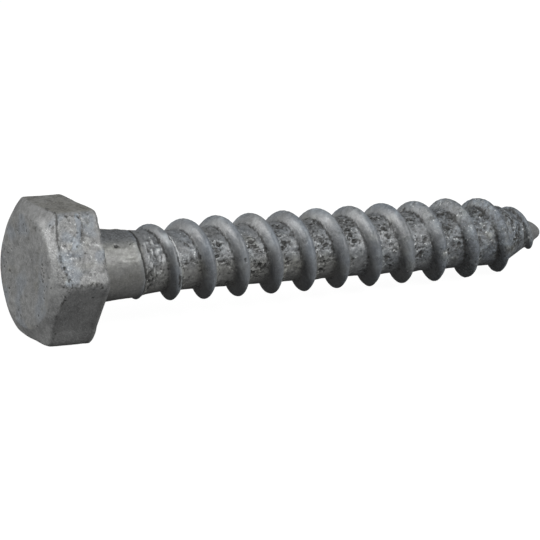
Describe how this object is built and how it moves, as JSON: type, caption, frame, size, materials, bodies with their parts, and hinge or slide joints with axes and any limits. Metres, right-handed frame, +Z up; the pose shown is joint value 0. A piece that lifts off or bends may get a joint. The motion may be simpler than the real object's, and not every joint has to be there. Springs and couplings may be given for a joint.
{
  "type": "coach screw",
  "caption": "Hexagon-head coach screw with a short plain shank, a coarse right-hand wood thread and a blunt conical point.",
  "frame": {"origin": "middle of the footprint, on the surface the screw lies on", "axes": "+X towards the point, +Z up; the screw's own axis falls by 3.3 degrees towards the point"},
  "size_m": [0.0562, 0.0144, 0.0129],
  "materials": {
    "galvanised_steel": "dull hot-dip galvanised zinc, lumpy in the thread's roots, with small dark pits and paler runs"
  },
  "bodies": {
    "root": {"coach_screw": "galvanised_steel"}
  },
  "joints": []
}
